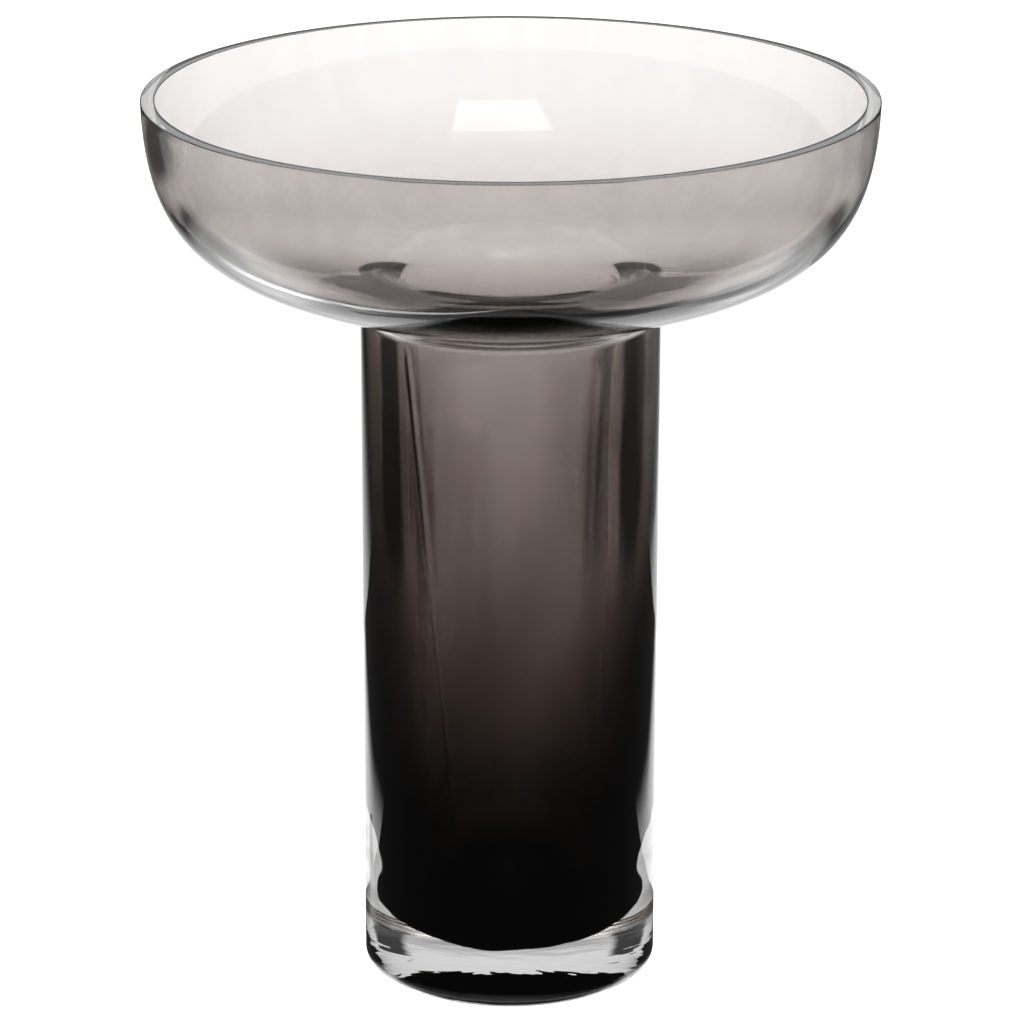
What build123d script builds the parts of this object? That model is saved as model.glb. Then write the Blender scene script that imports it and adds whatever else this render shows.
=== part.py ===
from build123d import *
import os

# Cased glass vase: a wide shallow bowl on a straight cylindrical stem, blown as one piece.
# A bubble of smoke glass, the lining, is covered by clear glass, the casing, which runs down
# into a solid clear foot. Every body is turned about Z.
# The origin is the centre of the level that the foot rests on.

# Driving dimensions, millimetres
total_height = 300.0
rim_radius = 119.0
stem_radius = 49.2
rim_wall = 4.7            # casing and lining together at the ground rim
outer_bevel = 0.6         # ground edges of the rim
inner_bevel = 0.3

# Outside of the bowl: one smooth curve from the rim, then a concave fillet into the stem
side_drop = 52.8          # the side runs nearly straight down this far
side_lean = 0.9           # and closes in by this much over that height
turn_radius = 92.3        # where side and underside would meet without the round turn
turn_height = 246.0
underside_radius = 54.0   # end of the underside, start of the fillet
underside_height = 231.4
fillet_corner_height = 229.57
stem_top = 226.5

# Inside of the bowl, and the rounded lip where its floor opens into the stem
floor_side_drop = 49.8
floor_turn_radius = 90.0
floor_turn_height = 251.7
lip_radius = 48.0
lip_height = 239.6
throat_radius = 36.0
throat_height = 227.8

# Hollow of the stem, which narrows slowly downwards to a round floor
neck_bottom = 200.0
cavity_top_radius = 34.7
cavity_low_radius = 28.4
cavity_low_height = 60.0
cavity_floor = 19.0
upper_sway_height = 160.0  # levels of the two points that bend the side slightly
lower_sway_height = 105.0

# Smoke lining: a film in the bowl, thicker down the stem, a deep pool at its closed end
bowl_film = 0.75
throat_film = 1.05
neck_film = 1.45
lining_low_radius = 32.6
lining_foot_radius = 28.4
lining_foot_height = 30.0
lining_bottom = 12.5

# Solid foot
foot_height = 22.0        # level where the foot's glass meets the casing of the stem
heel_radius = 3.0
kick_radius = 41.0        # hollow in the underside, inside the ring that touches
kick_depth = 2.4


def at(radius, height):
    """A point of the half section, which lies in the XZ plane."""
    return Vector(radius, 0, height)


def turned(*edges):
    """The solid that a closed half section makes when it turns about Z."""
    return revolve(make_face(Wire(list(edges))), Axis.Z, 360)


def bowl_curve(top, drop, turn, end):
    """Side and floor of the bowl from the rim to the neck, with one round turn."""
    return Bezier(top, at(top.X - side_lean, top.Z - drop), turn, end)


def neck_curve(turn, lip, throat, low):
    """On down the slope of the bowl's floor, over the rounded lip, through the throat, into the stem."""
    slope = (turn.Z - lip.Z) / (turn.X - lip.X)
    corner_radius = throat.X + 0.2
    lip_corner = at(corner_radius, lip.Z - slope * (lip.X - corner_radius))
    over_lip = Bezier(lip, lip_corner, throat)
    into_stem = Bezier(throat, at(low.X + 0.4, (throat.Z + low.Z) / 2), low)
    return over_lip, into_stem


def floor_curve(side, shoulder, bottom_height):
    """Closed end of a hollow, from its side round a shoulder to the middle of its floor."""
    return Bezier(side, shoulder, at(side.X * 0.6, bottom_height), at(0, bottom_height))


# Points on the three surfaces of the glass: outside, casing against lining, and inside
rim_between = at(rim_radius - rim_wall + bowl_film, total_height)
outer_bevel_top = at(rim_radius - outer_bevel, total_height)
outer_bevel_foot = at(rim_radius, total_height - outer_bevel)
inner_bevel_top = at(rim_radius - rim_wall + inner_bevel, total_height)
inner_bevel_foot = at(rim_radius - rim_wall, total_height - inner_bevel)
underside_end = at(underside_radius, underside_height)
lip_inside = at(lip_radius, lip_height)
lip_between = lip_inside + (underside_end - lip_inside).normalized() * bowl_film
throat_inside = at(throat_radius, throat_height)
throat_between = throat_inside + at(throat_film, 0)
neck_inside = at(cavity_top_radius, neck_bottom)
neck_between = neck_inside + at(neck_film, 0)
low_inside = at(cavity_low_radius, cavity_low_height)
low_between = at(lining_low_radius, cavity_low_height)
foot_between = at(lining_foot_radius, lining_foot_height)
foot_joint_between = at(lining_foot_radius, foot_height)

# Bowl, with a flat ground rim that has a small bevel on each edge
outside_turn = at(turn_radius, turn_height)
outside_bowl = bowl_curve(outer_bevel_foot, side_drop, outside_turn, underside_end)
inside_turn = at(floor_turn_radius, floor_turn_height)
inside_bowl = bowl_curve(inner_bevel_foot, floor_side_drop, inside_turn, lip_inside)
between_turn = inside_turn + at(bowl_film, -bowl_film)
between_bowl = bowl_curve(rim_between, floor_side_drop + bowl_film, between_turn, lip_between)

bowl_casing = turned(
    outside_bowl,
    Line(underside_end, lip_between),
    between_bowl,
    Line(rim_between, outer_bevel_top),
    Line(outer_bevel_top, outer_bevel_foot),
)
bowl_lining = turned(
    between_bowl,
    Line(lip_between, lip_inside),
    inside_bowl,
    Line(inner_bevel_foot, inner_bevel_top),
    Line(inner_bevel_top, rim_between),
)

# Neck: the thick clear ring that carries the bowl, and the lining that passes through it
outside_fillet = Bezier(underside_end, at(stem_radius, fillet_corner_height), at(stem_radius, stem_top))
inside_neck = neck_curve(inside_turn, lip_inside, throat_inside, neck_inside)
between_neck = neck_curve(between_turn, lip_between, throat_between, neck_between)

neck_casing = turned(
    outside_fillet,
    Line(at(stem_radius, stem_top), at(stem_radius, neck_bottom)),
    Line(at(stem_radius, neck_bottom), neck_between),
    *between_neck,
    Line(lip_between, underside_end),
)
neck_lining = turned(
    *between_neck,
    Line(neck_between, neck_inside),
    *inside_neck,
    Line(lip_inside, lip_between),
)

# Stem: a straight clear cylinder around the lining's long closed tube
between_side = Bezier(
    neck_between,
    neck_between + at(-0.85, upper_sway_height - neck_bottom),
    low_between + at(0.4, lower_sway_height - cavity_low_height),
    low_between,
)
waist_ease = (cavity_low_height - lining_foot_height) / 2
between_waist = Bezier(
    low_between,
    low_between - at(0, waist_ease),
    foot_between + at(0, waist_ease),
    foot_between,
)
between_foot = Line(foot_between, foot_joint_between)
between_floor = floor_curve(foot_joint_between, at(lining_foot_radius, lining_bottom), lining_bottom)
inside_side = Bezier(
    neck_inside,
    neck_inside + at(-1.1, upper_sway_height - neck_bottom),
    low_inside + at(2.8, lower_sway_height - cavity_low_height),
    low_inside,
)
inside_floor = floor_curve(low_inside, at(cavity_low_radius - 3.0, cavity_floor + 8.0), cavity_floor)

stem_casing = turned(
    Line(at(stem_radius, neck_bottom), at(stem_radius, foot_height)),
    Line(at(stem_radius, foot_height), foot_joint_between),
    between_foot,
    between_waist,
    between_side,
    Line(neck_between, at(stem_radius, neck_bottom)),
)
stem_lining = turned(
    between_side,
    between_waist,
    between_foot,
    between_floor,
    Line(at(0, lining_bottom), at(0, cavity_floor)),
    inside_floor,
    inside_side,
    Line(neck_inside, neck_between),
)

# Foot: a heavy clear disc under the lining, which stands on a narrow flat ring
heel_centre = at(stem_radius - heel_radius, heel_radius)
heel = ThreePointArc(
    at(stem_radius, heel_radius),
    heel_centre + (at(1, 0) - at(0, 1)).normalized() * heel_radius,
    at(stem_radius - heel_radius, 0),
)
kick = Bezier(at(kick_radius, 0), at(kick_radius / 2, kick_depth), at(0, kick_depth))
foot = turned(
    Line(at(stem_radius, foot_height), at(stem_radius, heel_radius)),
    heel,
    Line(at(stem_radius - heel_radius, 0), at(kick_radius, 0)),
    kick,
    Line(at(0, kick_depth), at(0, lining_bottom)),
    between_floor,
    Line(foot_joint_between, at(stem_radius, foot_height)),
)

nodes = {
    "bowl_casing": bowl_casing,
    "bowl_lining": bowl_lining,
    "neck_casing": neck_casing,
    "neck_lining": neck_lining,
    "stem_casing": stem_casing,
    "stem_lining": stem_lining,
    "foot": foot,
}
os.makedirs("parts", exist_ok=True)
for name, solid in nodes.items():
    export_step(solid, f"parts/{name}.step")
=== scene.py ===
import math
import random

import bmesh
import bpy
from mathutils import Euler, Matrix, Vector, noise


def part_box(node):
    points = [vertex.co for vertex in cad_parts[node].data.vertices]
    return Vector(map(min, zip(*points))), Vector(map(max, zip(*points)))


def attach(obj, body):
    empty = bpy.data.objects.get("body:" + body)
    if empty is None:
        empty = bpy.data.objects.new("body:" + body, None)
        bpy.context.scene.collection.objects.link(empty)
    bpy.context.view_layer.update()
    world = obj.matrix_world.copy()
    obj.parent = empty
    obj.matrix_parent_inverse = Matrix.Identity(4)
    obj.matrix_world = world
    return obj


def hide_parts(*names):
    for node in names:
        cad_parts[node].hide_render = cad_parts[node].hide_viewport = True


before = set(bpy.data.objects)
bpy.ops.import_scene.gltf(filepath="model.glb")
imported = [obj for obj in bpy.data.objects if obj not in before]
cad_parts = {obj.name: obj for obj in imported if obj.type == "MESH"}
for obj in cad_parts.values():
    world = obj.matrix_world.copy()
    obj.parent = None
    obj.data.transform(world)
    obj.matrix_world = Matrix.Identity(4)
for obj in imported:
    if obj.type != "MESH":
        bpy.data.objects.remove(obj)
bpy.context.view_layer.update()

# A smoke glass vase, cased in clear glass. One closed shell carries every surface where glass
# meets air, because light bends only there. The smoke lining lies just inside the shell's inner
# skin and only absorbs. Lengths are in metres, in the frame of the CAD model.

MM = 0.001
random.seed(7)


# ---------------------------------------------------------------- sizes, from the frame

def top_of(node):
    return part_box(node)[1][2]


def bottom_of(node):
    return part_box(node)[0][2]


def reach_of(node):
    """Radius of a turned node, from the side of its box where its facets reach least."""
    return min(-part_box(node)[0][0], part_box(node)[1][0])


HEIGHT = top_of("bowl_casing")
RIM_RADIUS = reach_of("bowl_casing")
STEM_RADIUS = reach_of("stem_casing")
NECK_BOTTOM = bottom_of("neck_casing")
UNDERSIDE_RADIUS = reach_of("neck_casing")
UNDERSIDE_HEIGHT = bottom_of("bowl_casing")
LINING_BOTTOM = bottom_of("stem_lining")

# Shape of the glass that the boxes don't give
RIM_WALL = 4.7 * MM
RIM_ROUND = 0.5 * MM
SIDE_LEAN = 0.9 * MM
SIDE_DROP = 52.8 * MM                    # how far the bowl's outside runs down before it turns in
TURN = (92.3 * MM, 246.0 * MM)
FILLET_CORNER = 229.57 * MM
FILLET_FOOT = 226.5 * MM
FLOOR_SIDE_DROP = 49.8 * MM              # the same for the bowl's inside
FLOOR_TURN = (90.0 * MM, 251.7 * MM)
LIP = (48.0 * MM, 239.6 * MM)
LIP_LEAN = 0.2 * MM
THROAT = (36.0 * MM, 227.8 * MM)
THROAT_LEAN = 0.4 * MM
CAVITY_TOP = (34.7 * MM, NECK_BOTTOM)
CAVITY_LOW = (28.4 * MM, 60.0 * MM)
CAVITY_FLOOR = 19.0 * MM
UPPER_SWAY = 160 * MM                    # heights that shape the long curves in the stem
LOWER_SWAY = 105 * MM
HEEL = 3.0 * MM
KICK_RADIUS = 41.0 * MM                  # the hollow under the foot
KICK_DEPTH = 2.4 * MM

# Smoke lining: its thickness at the rim, at the bowl's floor and at the stem's top, then its
# buried outline low in the stem
FILM = 0.52 * MM
FLOOR_FILM = 0.84 * MM
STEM_FILM = 1.45 * MM
SKIN = 0.05 * MM                         # clear skin between the lining and the air inside
LINING_TOP_GAP = 0.12 * MM
LINING_LOW = (32.6 * MM, 60.0 * MM)
LINING_WAIST = (27.6 * MM, 30.0 * MM)
LINING_BULGE = (28.9 * MM, 21.0 * MM)
SMOKE_TINT = (0.50, 0.45, 0.427, 1)
SMOKE_DENSITY = 1300                     # per metre

AROUND = 360                             # steps round the axis
FLOOR_GAP = 0.12 * MM                    # how far the paper and the cards lie below the foot
CARD_GAP = 0.06 * MM


# ---------------------------------------------------------------- curves of the half section

def bezier(points, steps):
    """Points along a Bezier curve of any order, both ends included."""
    out = []
    for i in range(steps + 1):
        t = i / steps
        level = [Vector(p) for p in points]
        while len(level) > 1:
            level = [a.lerp(b, t) for a, b in zip(level, level[1:])]
        out.append(level[0])
    return out


def joined(*curves):
    """Curves end to end, with shared ends kept once."""
    out = list(curves[0])
    for curve in curves[1:]:
        out += curve[1:] if (curve[0] - out[-1]).length < 1e-7 else curve
    return out


def outside():
    """Outer surface, from the rim's flat down to the middle of the underside."""
    rim_edge = bezier([(RIM_RADIUS - RIM_ROUND, HEIGHT), (RIM_RADIUS, HEIGHT),
                       (RIM_RADIUS, HEIGHT - RIM_ROUND)], 6)
    bowl = bezier([(RIM_RADIUS, HEIGHT - RIM_ROUND), (RIM_RADIUS - SIDE_LEAN, HEIGHT - SIDE_DROP),
                   TURN, (UNDERSIDE_RADIUS, UNDERSIDE_HEIGHT)], 84)
    fillet = bezier([(UNDERSIDE_RADIUS, UNDERSIDE_HEIGHT), (STEM_RADIUS, FILLET_CORNER),
                     (STEM_RADIUS, FILLET_FOOT)], 20)
    stem = bezier([(STEM_RADIUS, FILLET_FOOT), (STEM_RADIUS, HEEL)], 70)
    heel = [Vector((STEM_RADIUS - HEEL + HEEL * math.cos(a), HEEL - HEEL * math.sin(a)))
            for a in [math.pi / 2 * i / 14 for i in range(15)]]
    ring = bezier([(STEM_RADIUS - HEEL, 0), (KICK_RADIUS, 0)], 4)
    kick = bezier([(KICK_RADIUS, 0), (KICK_RADIUS / 2, KICK_DEPTH), (0, KICK_DEPTH)], 28)
    return joined(rim_edge, bowl, fillet, stem, heel, ring, kick)


def inside():
    """Inner surface, from the rim's flat down to the middle of the hollow's floor."""
    edge = RIM_RADIUS - RIM_WALL
    rim_edge = bezier([(edge + RIM_ROUND, HEIGHT), (edge, HEIGHT), (edge, HEIGHT - RIM_ROUND)], 6)
    bowl = bezier([(edge, HEIGHT - RIM_ROUND), (edge - SIDE_LEAN, HEIGHT - FLOOR_SIDE_DROP),
                   FLOOR_TURN, LIP], 84)
    slope = (FLOOR_TURN[1] - LIP[1]) / (FLOOR_TURN[0] - LIP[0])
    corner = (THROAT[0] + LIP_LEAN, LIP[1] - slope * (LIP[0] - THROAT[0] - LIP_LEAN))
    over_lip = bezier([LIP, corner, THROAT], 30)
    ease = (THROAT[1] - CAVITY_TOP[1]) / 2
    into_stem = bezier([THROAT, (CAVITY_TOP[0] + THROAT_LEAN, CAVITY_TOP[1] + ease), CAVITY_TOP], 24)
    side = bezier([CAVITY_TOP, (CAVITY_TOP[0] - 1.1 * MM, UPPER_SWAY),
                   (CAVITY_LOW[0] + 2.8 * MM, LOWER_SWAY), CAVITY_LOW], 60)
    floor = bezier([CAVITY_LOW, (CAVITY_LOW[0] - 3.0 * MM, CAVITY_FLOOR + 8 * MM),
                    (CAVITY_LOW[0] * 0.6, CAVITY_FLOOR), (0, CAVITY_FLOOR)], 34)
    return joined(rim_edge, bowl, over_lip, into_stem, side, floor)


def normals(curve):
    """Unit normals of a curve in the half section, to the left of its direction."""
    out = []
    for i in range(len(curve)):
        along = curve[min(i + 1, len(curve) - 1)] - curve[max(i - 1, 0)]
        out.append(Vector((-along.y, along.x)).normalized())
    return out


def smooth(t):
    t = max(0.0, min(1.0, t))
    return t * t * (3 - 2 * t)


# ---------------------------------------------------------------- unevenness of hand-blown glass

# Creases down the hollow of the stem: bearing at the top, drift in 100 mm, depth in mm, half width.
# Angles are in degrees. One crease stands out and the others are faint.
CREASES = [(-54, 14, 0.32, 1.2)]
for _ in range(7):
    CREASES.append((random.uniform(0, 360), random.uniform(-14, 14), random.uniform(0.05, 0.10),
                    random.uniform(3.0, 6.0)))


def crease(angle, height):
    """Depth of the creases at a place in the hollow. Each drifts a little to one side on its way down."""
    depth = 0
    down = (225 * MM - height) / (100 * MM)
    for start, drift, amount, width in CREASES:
        off = (math.degrees(angle) + 90 - start - drift * down + 180) % 360 - 180
        depth += amount * MM * math.exp(-(off / width) ** 2)
    return depth


def uneven(angle, point, seed, amount, streak):
    """Slow swells and finer upright streaks, as a shift along the surface's normal."""
    c, s = math.cos(angle), math.sin(angle)
    level = point.y / MM
    swell = noise.noise(Vector((c * 1.7, s * 1.7, level * 0.018 + seed)))
    streaks = noise.noise(Vector((c * 7.5, s * 7.5, level * 0.007 + seed * 2)))
    fine = noise.noise(Vector((c * 16, s * 16, level * 0.02 + seed * 3)))
    return amount * swell + streak * (streaks + 0.35 * fine)


def calm(point):
    """Fades the unevenness out at the ground rim and at the axis."""
    return smooth((HEIGHT - point.y) / (14 * MM)) * smooth(point.x / (14 * MM))


def inner_shift(angle, point):
    """The inner surface, calm in the bowl, and wavy and creased in the stem."""
    in_stem = smooth((THROAT[1] - point.y) / (18 * MM))
    wave = uneven(angle, point, 1.3, (0.20 + 0.20 * in_stem) * MM, (0.02 + 0.06 * in_stem) * MM)
    return calm(point) * (wave + in_stem * crease(angle, point.y))


def outer_shift(angle, point):
    """The outer surface, smoother than the inner one, and smoothest in the fillet under the bowl."""
    base = smooth(point.y / (4 * MM))
    fillet = smooth(abs(point.y - FILLET_CORNER) / (14 * MM))
    return calm(point) * base * uneven(angle, point, 5.1, 0.10 * MM, (0.004 + 0.026 * fillet) * MM)


def lining_shift(angle, point):
    """The buried face of the lining, uneven where it was rolled and dipped."""
    deep = smooth((LINING_LOW[1] - point.y) / (40 * MM))
    wave = uneven(angle, point, 9.7, (0.3 + 0.5 * deep) * MM, (0.06 + 0.22 * deep) * MM)
    return calm(point) * wave


def kick_shift(angle, point):
    """The hollow under the foot is left rough where the iron broke away."""
    place = Vector((point.x * math.cos(angle), point.x * math.sin(angle), 0)) / MM
    rough = 0.10 * noise.noise(place * 0.16) + 0.035 * noise.noise(place * 0.5 + Vector((9, 0, 0)))
    return calm(point) * smooth((KICK_RADIUS - point.x) / (4 * MM)) * rough * MM


# ---------------------------------------------------------------- meshes

def turned(name, section, shifts, material):
    """Closed mesh from a half section that starts and ends on the axis. Each point has its own rule
    for the unevenness, and its own normal to shift along."""
    mesh = bmesh.new()
    rows = []
    for point, (rule, normal) in zip(section, shifts):
        if point.x < 1e-7:
            rows.append([mesh.verts.new((0, 0, point.y))])
            continue
        row = []
        for i in range(AROUND):
            a = math.tau * i / AROUND
            p = point + normal * rule(a, point)
            row.append(mesh.verts.new((p.x * math.cos(a), p.x * math.sin(a), p.y)))
        rows.append(row)
    for one, other in zip(rows, rows[1:]):
        for i in range(AROUND):
            j = (i + 1) % AROUND
            corners = [one[i % len(one)], one[j % len(one)], other[j % len(other)], other[i % len(other)]]
            mesh.faces.new(list(dict.fromkeys(corners)))
    bmesh.ops.recalc_face_normals(mesh, faces=mesh.faces)
    for face in mesh.faces:
        face.smooth = True
    data = bpy.data.meshes.new(name)
    mesh.to_mesh(data)
    mesh.free()
    data.materials.append(material)
    piece = bpy.data.objects.new(name, data)
    bpy.context.collection.objects.link(piece)
    return piece


# ---------------------------------------------------------------- materials

def new_material(name):
    material = bpy.data.materials.new(name)
    material.use_nodes = True
    nodes = material.node_tree.nodes
    return material, nodes, material.node_tree.links, nodes["Principled BSDF"]


def combine(nodes, links, operation, first, second):
    """An arithmetic node. Its two inputs are sockets or numbers."""
    node = nodes.new("ShaderNodeMath")
    node.operation = operation
    for slot, value in enumerate((first, second)):
        if isinstance(value, (int, float)):
            node.inputs[slot].default_value = value
        else:
            links.new(value, node.inputs[slot])
    return node.outputs["Value"]


def fitted(nodes, links, value, start, end, low, high, smoothly=False):
    """A value mapped so that start becomes low and end becomes high, and kept between them."""
    node = nodes.new("ShaderNodeMapRange")
    if smoothly:
        node.interpolation_type = "SMOOTHSTEP"
    node.inputs["From Min"].default_value = start
    node.inputs["From Max"].default_value = end
    node.inputs["To Min"].default_value = low
    node.inputs["To Max"].default_value = high
    links.new(value, node.inputs["Value"])
    return node.outputs["Result"]


def split(nodes, links, vector):
    """The X, Y and Z sockets of a vector."""
    axes = nodes.new("ShaderNodeSeparateXYZ")
    links.new(vector, axes.inputs["Vector"])
    return axes.outputs


def noisy(nodes, links, place, scale, detail):
    """Noise from 0 to 1 at a place in the material."""
    node = nodes.new("ShaderNodeTexNoise")
    node.inputs["Scale"].default_value = scale
    node.inputs["Detail"].default_value = detail
    links.new(place, node.inputs["Vector"])
    return node.outputs["Fac"]


def wear(nodes, links):
    """Fire-polished glass is clear; the ring it stands on is scuffed, and so are a few small spots."""
    place = nodes.new("ShaderNodeTexCoord").outputs["Object"]
    scuffed = fitted(nodes, links, split(nodes, links, place)["Z"], 0.0, 0.5 * MM, 0.22, 0.0)
    spots = fitted(nodes, links, noisy(nodes, links, place, 260, 3), 0.70, 0.80, 0.0, 0.05)
    return combine(nodes, links, "MAXIMUM", scuffed, spots)


def ripple(nodes, links):
    """The faint waviness that a blown surface keeps, too fine for the mesh."""
    place = nodes.new("ShaderNodeTexCoord").outputs["Object"]
    bump = nodes.new("ShaderNodeBump")
    bump.inputs["Strength"].default_value = 1.0
    bump.inputs["Distance"].default_value = 0.006 * MM
    links.new(noisy(nodes, links, place, 55, 2), bump.inputs["Height"])
    return bump.outputs["Normal"]


def clear_glass():
    """Clear glass, fire polished, with an index of 1.5."""
    material, nodes, links, glass = new_material("clear_glass")
    glass.inputs["Base Color"].default_value = (1, 1, 1, 1)
    glass.inputs["Transmission Weight"].default_value = 1
    glass.inputs["IOR"].default_value = 1.5
    links.new(wear(nodes, links), glass.inputs["Roughness"])
    links.new(ripple(nodes, links), glass.inputs["Normal"])
    return material


def cords(nodes, links):
    """Tint of the smoke glass: faint upright streaks, and a few seeds, the small bubbles in it."""
    place = nodes.new("ShaderNodeTexCoord").outputs["Object"]
    drawn = nodes.new("ShaderNodeMapping")
    drawn.inputs["Scale"].default_value = (1, 1, 0.12)
    links.new(place, drawn.inputs["Vector"])
    streaks = noisy(nodes, links, drawn.outputs["Vector"], 130, 3)
    pale = fitted(nodes, links, streaks, 0.35, 0.65, 0.965, 1.0)
    cells = nodes.new("ShaderNodeTexVoronoi")
    cells.inputs["Scale"].default_value = 34
    links.new(place, cells.inputs["Vector"])
    seeds = fitted(nodes, links, cells.outputs["Distance"], 0.012, 0.022, 0.35, 1.0)
    return combine(nodes, links, "MULTIPLY", pale, seeds)


def smoke_glass():
    """Smoke glass inside the clear glass. It doesn't bend light, and its volume absorbs it."""
    material, nodes, links, glass = new_material("smoke_glass")
    glass.inputs["Transmission Weight"].default_value = 1
    links.new(cords(nodes, links), glass.inputs["Base Color"])
    glass.inputs["Roughness"].default_value = 0
    glass.inputs["IOR"].default_value = 1.0
    tint = nodes.new("ShaderNodeVolumeAbsorption")
    tint.inputs["Color"].default_value = SMOKE_TINT
    tint.inputs["Density"].default_value = SMOKE_DENSITY
    links.new(tint.outputs["Volume"], nodes["Material Output"].inputs["Volume"])
    return material


# ---------------------------------------------------------------- the vase

outer = outside()
inner = inside()


def build_shell(material):
    """Every surface where glass meets air."""
    inner_rules = [(inner_shift, n) for n in normals(inner)]
    outer_rules = [(kick_shift if p.x < KICK_RADIUS and p.y < KICK_DEPTH * 1.01 else outer_shift, n)
                   for p, n in zip(outer, normals(outer))]
    piece = turned("clear_casing", inner[::-1] + outer, inner_rules[::-1] + outer_rules, material)
    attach(piece, "root")
    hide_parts("bowl_casing", "neck_casing", "stem_casing", "foot")


def film(point):
    """Thickness of the smoke lining at a point of the bowl's and neck's inner surface."""
    bowl = FILM + (FLOOR_FILM - FILM) * smooth((HEIGHT - point.y) / (HEIGHT - LIP[1]))
    top = LIP[1] + 6 * MM
    return bowl + (STEM_FILM - bowl) * smooth((top - point.y) / (top - NECK_BOTTOM))


def build_lining(material):
    """The smoke layer: its inner face follows the shell's inner surface, just under the skin."""
    top = HEIGHT - LINING_TOP_GAP
    inward = normals(inner)
    near, near_rules, far, far_rules = [], [], [], []
    for p, n in zip(inner, inward):
        if p.y >= top:
            continue
        near.append(p + n * SKIN)
        near_rules.append((inner_shift, n))
        if p.y >= CAVITY_TOP[1] - 1e-6:
            far.append(p + n * film(p))
            far_rules.append((inner_shift, n))
    near[0].y = far[0].y = top
    near[-1].x = 0
    side = bezier([far[-1], (far[-1].x - 0.85 * MM, UPPER_SWAY),
                   (LINING_LOW[0] + 0.4 * MM, LOWER_SWAY), LINING_LOW], 50)
    ease = (LINING_LOW[1] - LINING_WAIST[1]) / 2
    waist = bezier([LINING_LOW, (LINING_LOW[0] - 0.6 * MM, LINING_LOW[1] - ease),
                    (LINING_WAIST[0], LINING_WAIST[1] + ease * 0.6), LINING_WAIST], 24)
    bulge = bezier([LINING_WAIST, (LINING_WAIST[0], LINING_WAIST[1] - 4 * MM),
                    (LINING_BULGE[0], LINING_BULGE[1] + 4 * MM), LINING_BULGE], 12)
    floor = bezier([LINING_BULGE, (LINING_BULGE[0], LINING_BOTTOM + 0.5 * MM),
                    (LINING_BULGE[0] * 0.62, LINING_BOTTOM), (0, LINING_BOTTOM)], 30)
    lower = joined(side, waist, bulge, floor)[1:]
    far_rules += [(lining_shift, n) for n in normals(lower)]
    piece = turned("smoke_lining", near[::-1] + far + lower, near_rules[::-1] + far_rules, material)
    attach(piece, "root")
    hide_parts("bowl_lining", "neck_lining", "stem_lining")


build_shell(clear_glass())
build_lining(smoke_glass())


# ---------------------------------------------------------------- floor, cards of painted shade and painted reflections, lights and camera

def link_stage(name, mesh, material):
    """An object of the stage, which isn't part of the vase."""
    data = bpy.data.meshes.new(name)
    mesh.to_mesh(data)
    mesh.free()
    data.materials.append(material)
    thing = bpy.data.objects.new(name, data)
    bpy.context.collection.objects.link(thing)
    return thing


def disc(radius):
    """A flat round sheet about the origin."""
    mesh = bmesh.new()
    bmesh.ops.create_circle(mesh, cap_ends=True, segments=96, radius=radius)
    return mesh


def build_floor():
    """A wide sheet of pale paper, lit from below. The glass reflects the world's glow in its place,
    so that the paper's even white doesn't flatten every edge."""
    material, nodes, links, paper = new_material("floor")
    paper.inputs["Base Color"].default_value = (0.80, 0.80, 0.80, 1)
    paper.inputs["Roughness"].default_value = 0.6
    paper.inputs["Specular IOR Level"].default_value = 0.0
    paper.inputs["Emission Color"].default_value = (1, 1, 1, 1)
    paper.inputs["Emission Strength"].default_value = 0.92
    floor = link_stage("floor", disc(8.0), material)
    floor.location.z = -FLOOR_GAP
    floor.visible_glossy = False


def feather(nodes, links, distance, start, end, strength):
    """Full strength up to start, then fading smoothly to nothing at end."""
    return fitted(nodes, links, distance, start, end, strength, 0.0, smoothly=True)


def card(name, mesh, place, seen_by, glow, mask, turn=0, lift=0):
    """A sheet that only one kind of ray meets, never the camera. A black one is painted shade and a
    glowing one is painted light in what the glass shows.
    The mask gives its strength from its own coordinates, so that its edges are feathered."""
    material, nodes, links, paper = new_material(name)
    paper.inputs["Base Color"].default_value = (0.0, 0.0, 0.0, 1)
    paper.inputs["Specular IOR Level"].default_value = 0.0
    paper.inputs["Emission Color"].default_value = (1, 1, 1, 1)
    paper.inputs["Emission Strength"].default_value = glow
    coords = nodes.new("ShaderNodeTexCoord")
    links.new(mask(nodes, links, coords.outputs["Object"]), paper.inputs["Alpha"])
    thing = link_stage(name, mesh, material)
    thing.location = (*place, lift - CARD_GAP)
    thing.rotation_euler.z = turn
    for kind in ("camera", "diffuse", "glossy", "transmission", "shadow", "volume_scatter"):
        setattr(thing, "visible_" + kind, kind == seen_by)


def round_mask(radius, strength):
    """Full strength in the middle, fading to the edge of a round card."""
    def mask(nodes, links, coords):
        reach = nodes.new("ShaderNodeVectorMath")
        reach.operation = "LENGTH"
        links.new(coords, reach.inputs[0])
        return feather(nodes, links, reach.outputs["Value"], radius * 0.5, radius, strength)
    return mask


def round_card(name, radius, place, seen_by, glow, strength):
    """A round card lying on the paper, which paints shade, or with a glow a reflection, into what the
    glass shows.
    """
    card(name, disc(radius), place, seen_by, glow, round_mask(radius, strength))


def side_mask(start, end):
    """Full strength near the middle line, fading to both sides."""
    def mask(nodes, links, coords):
        aside = combine(nodes, links, "ABSOLUTE", split(nodes, links, coords)["X"], 0)
        return feather(nodes, links, aside, start, end, 1.0)
    return mask


def quad(corners):
    """A single flat face."""
    mesh = bmesh.new()
    mesh.faces.new([mesh.verts.new(c) for c in corners])
    return mesh


def strip(half, near, far):
    """A flat rectangle along Y, of a given half width."""
    return quad([(-half, near, 0), (half, near, 0), (half, far, 0), (-half, far, 0)])


def streak(name, start, end, half, glow):
    """A narrow strip of card from one place on the paper to another, feathered along both sides. Only
    reflections meet it: a painted reflection.
    """
    way = Vector(end) - Vector(start)
    turn = math.atan2(-way.x, way.y)
    card(name, strip(half, 0, way.length), start, "glossy", glow, side_mask(half * 0.3, half), turn,
         CARD_GAP / 3)


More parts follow.
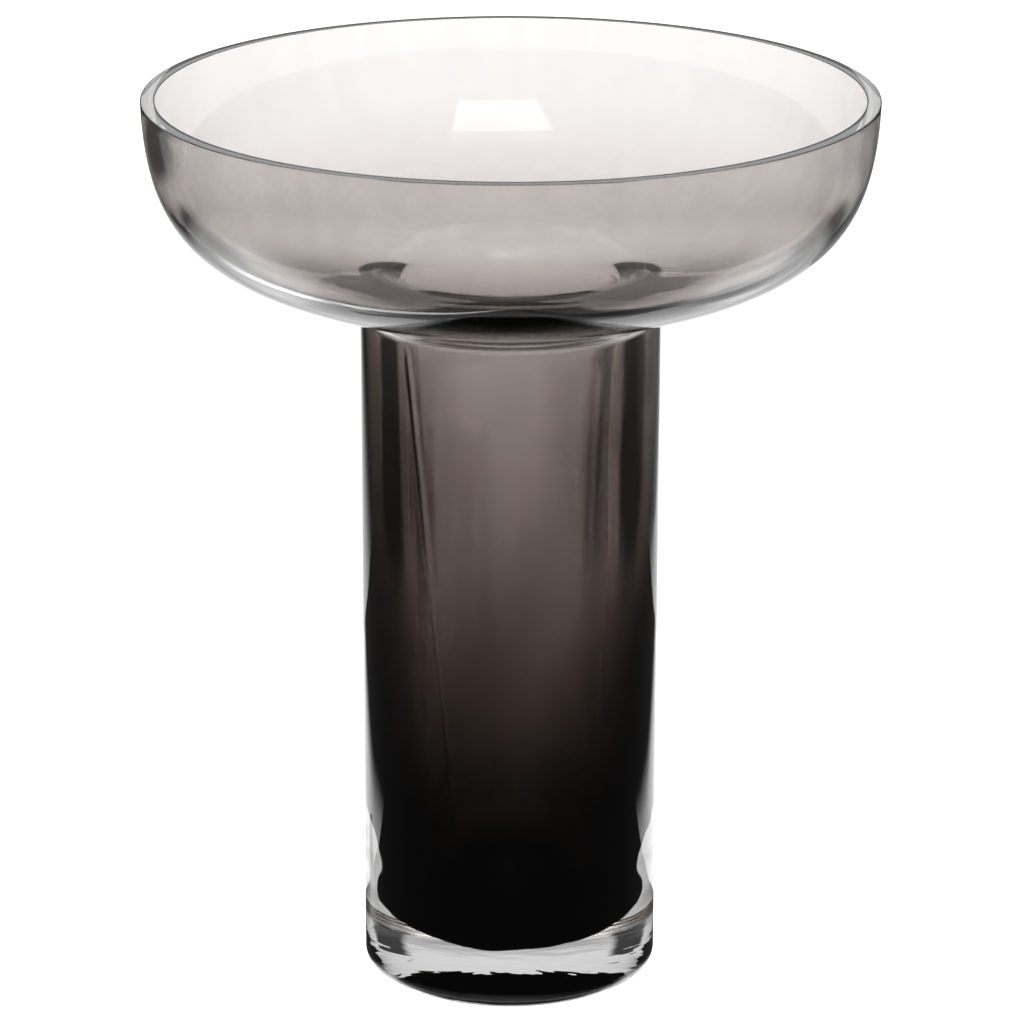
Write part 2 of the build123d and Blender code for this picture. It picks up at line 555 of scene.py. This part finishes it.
def painted_shade_side_flag(name, side):
    """A tall dark sheet behind, to one side, which only light through the glass meets: painted shade that
    darkens what the foot's clear edge gathers.
    """
    flag = quad([(-0.66, 0, 0.22), (0.66, 0, 0.22), (0.66, 0, 1.25), (-0.66, 0, 1.25)])
    aim = math.radians(side * 45)
    place = (2.4 * math.sin(aim), 2.4 * math.cos(aim))
    card(name, flag, place, "transmission", 0.05, side_mask(0.40, 0.66), -aim)


build_floor()
# Painted shade: black discs on the paper that only light through the glass meets, darkening what the
# bowl, stem and foot show of the floor.
round_card("painted_shade_card_left", 0.21, (-0.33, 0.34), "transmission", 0, 0.86)
round_card("painted_shade_card_right", 0.23, (0.32, 0.38), "transmission", 0, 0.86)
round_card("painted_shade_card_far_left", 0.36, (-0.62, 0.88), "transmission", 0, 0.90)
round_card("painted_shade_card_far_right", 0.34, (0.56, 0.92), "transmission", 0, 0.45)
# Painted contact shadow: a feathered dark disc under the vase, seen only through the glass.
round_card("painted_contact_shadow_card", 0.19, (0, 0), "transmission", 0, 0.6)
# Painted reflection: a pale glowing disc that only the glass's reflections show.
round_card("painted_reflection_glow_card", 0.45, (0.66, 0.62), "glossy", 0.25, 1.0)
# Painted reflection: a bright lane on the paper behind the vase, seen only in the glass's reflections.
card("painted_reflection_lane", strip(0.19, 0.05, 0.31), (0, 0), "glossy", 1.5, side_mask(0.13, 0.19))
# Painted reflection: a dimmer streak running out from the stem, seen only in the glass's reflections.
streak("painted_dark_reflection_streak", (-0.070, 0.010), (-0.125, 0.095), 0.012, 0.5)
# Painted shade: two dark sheets behind, to the sides, seen only through the glass.
painted_shade_side_flag("painted_shade_flag_left", -1)
painted_shade_side_flag("painted_shade_flag_right", 1)
# Painted reflection: a longer, wider bright lane further behind, seen only in the glass's reflections.
card("painted_reflection_lane_far", strip(0.40, 0.31, 1.8), (0, 0), "glossy", 1.1, side_mask(0.20, 0.40))
# Painted reflection: a bright sheet high up behind the vase, seen only in the glass's reflections.
painted_reflection_veil = quad([(-1.6, 2.4, 0.85), (1.6, 2.4, 0.85), (1.6, 2.4, 2.6), (-1.6, 2.4, 2.6)])
card("painted_reflection_veil", painted_reflection_veil, (0, 0), "glossy", 1.2, side_mask(0.8, 1.6))


def area(name, size, power, place, target):
    """A soft rectangular lamp that faces its target."""
    data = bpy.data.lights.new(name, "AREA")
    data.shape = "RECTANGLE"
    data.size, data.size_y = size
    data.energy = power
    light = bpy.data.objects.new(name, data)
    light.location = place
    light.rotation_euler = (Vector(target) - Vector(place)).to_track_quat("-Z", "Y").to_euler()
    bpy.context.collection.objects.link(light)


area("softbox_front", (1.1, 1.5), 13, (0.13, -1.5, 2.0), (0, 0, 0.2))


def streak_glow(nodes, links, bearing, low, degrees, core, reach, strength):
    """An upright streak in the studio's glow, low down and at one bearing, fading to both sides."""
    off = combine(nodes, links, "SUBTRACT", bearing, math.radians(degrees))
    aside = combine(nodes, links, "ABSOLUTE", off, 0)
    fade = feather(nodes, links, aside, math.radians(core), math.radians(reach), strength)
    return combine(nodes, links, "MULTIPLY", fade, low)


# Glow of the studio by degrees above the horizon
GLOW = {-90: 0.3, -66: 0.4, -59: 1.0, -54: 2.4, -48: 3.0, -43: 2.9, -38: 2.4, -35: 1.8, -30: 1.15,
        -26: 0.05, 3: 0.08, 10: 0.35, 22: 0.72, 90: 0.60}


def glow_by_height(nodes, links, up, brightest):
    """The glow where a direction's upward part is up, as a share of the brightest."""
    ramp = nodes.new("ShaderNodeValToRGB")
    stops = ramp.color_ramp.elements
    for i, (degrees, level) in enumerate(GLOW.items()):
        place = (1 + math.sin(math.radians(degrees))) / 2
        stop = stops[i] if i < 2 else stops.new(place)
        stop.position = place
        stop.color = (level / brightest,) * 3 + (1,)
    links.new(fitted(nodes, links, up, -1, 1, 0, 1), ramp.inputs["Fac"])
    return ramp.outputs["Color"]


def dimmed(nodes, links, level, loss):
    """A level without the share that is lost."""
    return combine(nodes, links, "MULTIPLY", level, combine(nodes, links, "SUBTRACT", 1.0, loss))


def build_world():
    """The studio's glow: brightest low down, where the lit table would be mirrored in the glass,
    dark just under the horizon, and pale above it. Low down it has a pale streak at the left and
    a dark one at the right, and it is dimmer in front, on the camera's side."""
    world = bpy.data.worlds.new("studio")
    bpy.context.scene.world = world
    world.use_nodes = True
    nodes, links = world.node_tree.nodes, world.node_tree.links
    axes = split(nodes, links, nodes.new("ShaderNodeTexCoord").outputs["Generated"])
    bearing = combine(nodes, links, "ARCTAN2", axes["X"], axes["Y"])
    away = combine(nodes, links, "ABSOLUTE", bearing, 0)
    low = fitted(nodes, links, axes["Z"], math.sin(math.radians(-33)), math.sin(math.radians(-45)), 0, 1)
    front = fitted(nodes, links, away, math.radians(65), math.radians(85), 0, 0.85)
    brightest = max(GLOW.values())
    pale = streak_glow(nodes, links, bearing, low, -35, 2, 5, 4.0 / brightest)
    dark = streak_glow(nodes, links, bearing, low, 31, 4, 10, 0.6)
    level = glow_by_height(nodes, links, axes["Z"], brightest)
    level = dimmed(nodes, links, level, dark)
    level = dimmed(nodes, links, level, combine(nodes, links, "MULTIPLY", front, low))
    sky = nodes["Background"]
    links.new(combine(nodes, links, "ADD", level, pale), sky.inputs["Color"])
    sky.inputs["Strength"].default_value = brightest


build_world()

# A long lens that looks down at the vase from the front. Angles are in degrees.
CAMERA_PLACE = (0, -1.3784, 0.6212)
CAMERA_DOWN = 18.57
CAMERA_YAW = -0.025
CAMERA_ROLL = 0.10
camera_data = bpy.data.cameras.new("camera")
camera_data.sensor_width = 36
camera_data.lens = 154.05
camera_data.clip_start = 0.05
camera = bpy.data.objects.new("camera", camera_data)
bpy.context.collection.objects.link(camera)
camera.location = CAMERA_PLACE
camera.rotation_mode = "XYZ"
aim = Euler((math.radians(90 - CAMERA_DOWN), 0, math.radians(CAMERA_YAW))).to_matrix()
roll = Euler((0, 0, math.radians(CAMERA_ROLL))).to_matrix()
camera.rotation_euler = (aim @ roll).to_euler()
bpy.context.scene.camera = camera

# Many layers of glass lie behind one another, so light needs many turns to get through
scene = bpy.context.scene
scene.view_settings.view_transform = "Standard"
scene.cycles.max_bounces = 48
scene.cycles.transmission_bounces = 48
scene.cycles.glossy_bounces = 16
scene.cycles.transparent_max_bounces = 48
scene.cycles.sample_clamp_indirect = 0
